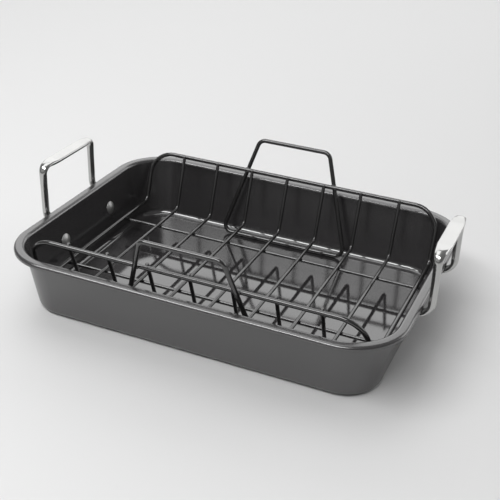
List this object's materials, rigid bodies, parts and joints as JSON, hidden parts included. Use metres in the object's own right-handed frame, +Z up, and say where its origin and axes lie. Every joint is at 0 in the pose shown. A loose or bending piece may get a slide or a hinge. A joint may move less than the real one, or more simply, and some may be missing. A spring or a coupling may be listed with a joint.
{
  "type": "roasting pan with rack",
  "caption": "Deep rectangular roasting pan with rolled rim and riveted upright handles, holding a U-shaped wire rack with trapezoid lift handles.",
  "frame": {"origin": "centre of the pan's base, on the surface that it stands on", "axes": "+X along the pan's length, towards one of its two handles; +Y across the pan, from one rack handle to the other; +Z up"},
  "size_m": [0.4384, 0.302, 0.1218],
  "materials": {
    "pan_coating": "satin dark grey nonstick coating on carbon steel",
    "rack_coating": "semi-gloss black nonstick coating on steel wire",
    "polished_steel": "polished stainless steel"
  },
  "bodies": {
    "pan": {"pan_body": "pan_coating", "handle_left": "polished_steel", "handle_right": "polished_steel", "rivet_left_front": "polished_steel", "rivet_left_back": "polished_steel", "rivet_right_front": "polished_steel", "rivet_right_back": "polished_steel"},
    "rack": {"rack_frame": "rack_coating", "rack_rib_1": "rack_coating", "rack_rib_2": "rack_coating", "rack_rib_3": "rack_coating", "rack_rib_4": "rack_coating", "rack_rib_5": "rack_coating", "rack_rib_6": "rack_coating", "rack_rib_7": "rack_coating", "rack_runner_front": "rack_coating", "rack_runner_back": "rack_coating", "rack_handle_front": "rack_coating", "rack_handle_back": "rack_coating"}
  },
  "joints": [
    {"name": "rack_lift", "type": "slide", "parent": "pan", "child": "rack", "axis": [0, 0, 1], "range_m": [0, 0.09]}
  ]
}
